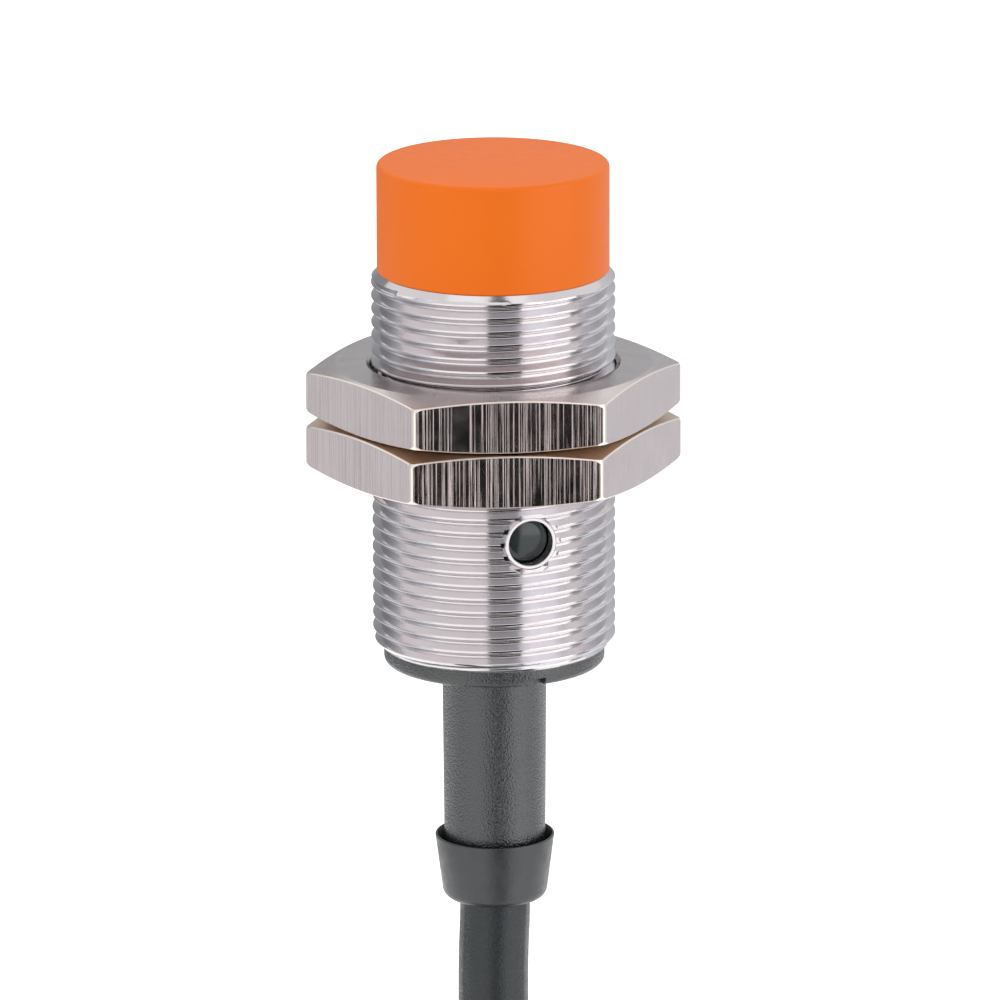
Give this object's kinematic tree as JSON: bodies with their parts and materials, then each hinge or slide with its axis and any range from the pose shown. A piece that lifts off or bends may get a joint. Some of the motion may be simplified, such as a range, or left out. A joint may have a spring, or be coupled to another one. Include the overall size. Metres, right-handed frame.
{
  "type": "inductive proximity sensor",
  "caption": "Cylindrical inductive proximity sensor: threaded metal barrel, plastic sensing nose, hexagon clamping nuts, indicator window and a fixed cable wound in a coil.",
  "frame": {"origin": "on the barrel axis, in the plane where the two clamping nuts meet, which is where a bracket holds the sensor", "axes": "+Z along the barrel axis, out of the sensing face; -Y is the indicator side"},
  "size_m": [0.07, 0.0308, 0.194],
  "materials": {
    "orange_pbt": "satin",
    "nickel_brass_thread": "satin",
    "nickel_brass_nut": "satin",
    "black_pbt": "matte",
    "black_sleeve": "satin",
    "pvc_jacket": "matte",
    "smoked_lens": "gloss",
    "clear_guide": "gloss",
    "ferrite": "matte",
    "white_nylon": "satin",
    "copper_wire": "satin",
    "green_board": "satin",
    "black_epoxy": "matte",
    "tantalum_yellow": "satin",
    "ceramic_tan": "satin",
    "red_glass": "gloss",
    "led_yellow": "gloss",
    "potting_resin": "satin",
    "black_rubber": "matte",
    "wire_brown": "satin",
    "wire_black": "satin",
    "wire_blue": "satin",
    "solder_tin": "satin",
    "black_tie": "satin"
  },
  "bodies": {
    "sensor": {"sensing_cap": "orange_pbt", "ferrite_core": "ferrite", "coil_bobbin": "white_nylon", "coil_winding": "copper_wire", "coil_lead_1": "copper_wire", "coil_lead_2": "copper_wire", "barrel": "nickel_brass_thread", "circuit_board": "green_board", "oscillator_ic": "black_epoxy", "output_transistor": "black_epoxy", "tantalum_capacitor": "tantalum_yellow", "ceramic_capacitor_1": "ceramic_tan", "ceramic_capacitor_2": "ceramic_tan", "resistor_1": "black_epoxy", "resistor_2": "black_epoxy", "resistor_3": "black_epoxy", "resistor_4": "black_epoxy", "zener_diode": "red_glass", "indicator_led": "led_yellow", "light_guide": "clear_guide", "window_lens": "smoked_lens", "potting": "potting_resin", "end_cap": "black_pbt", "seal_ring": "black_rubber", "compression_ring": "black_sleeve", "cable_inner": "pvc_jacket", "inner_wire_brown": "wire_brown", "inner_wire_black": "wire_black", "inner_wire_blue": "wire_blue", "solder_brown": "solder_tin", "solder_black": "solder_tin", "solder_blue": "solder_tin", "cable_lead": "pvc_jacket", "cable_coil": "pvc_jacket", "cable_tail": "pvc_jacket", "outer_wire_brown": "wire_brown", "outer_wire_black": "wire_black", "outer_wire_blue": "wire_blue", "tinned_end_brown": "solder_tin", "tinned_end_black": "solder_tin", "tinned_end_blue": "solder_tin", "coil_tie_top": "black_tie", "coil_tie_low": "black_tie"},
    "front_nut_slider": {"front_nut_thread": "nickel_brass_nut"},
    "front_nut_hex": {"front_nut": "nickel_brass_nut"},
    "rear_nut_slider": {"rear_nut_thread": "nickel_brass_nut"},
    "rear_nut_hex": {"rear_nut": "nickel_brass_nut"}
  },
  "joints": [
    {"name": "front_nut_travel", "type": "slide", "parent": "sensor", "child": "front_nut_slider", "axis": [0, 0, 1], "range_m": [0, 0.00625]},
    {"name": "front_nut_turn", "type": "hinge", "parent": "front_nut_slider", "child": "front_nut_hex", "pos_m": [0, 0, 0], "axis": [0, 0, 1], "range_deg": [0, 2250]},
    {"name": "rear_nut_travel", "type": "slide", "parent": "sensor", "child": "rear_nut_slider", "axis": [0, 0, 1], "range_m": [-0.01275, 0]},
    {"name": "rear_nut_turn", "type": "hinge", "parent": "rear_nut_slider", "child": "rear_nut_hex", "pos_m": [0, 0, 0], "axis": [0, 0, 1], "range_deg": [-4590, 0]}
  ],
  "couplings": [
    {"joint": "front_nut_travel", "follows": "front_nut_turn", "m_per_rad": 0.00015915},
    {"joint": "rear_nut_travel", "follows": "rear_nut_turn", "m_per_rad": 0.00015915}
  ]
}
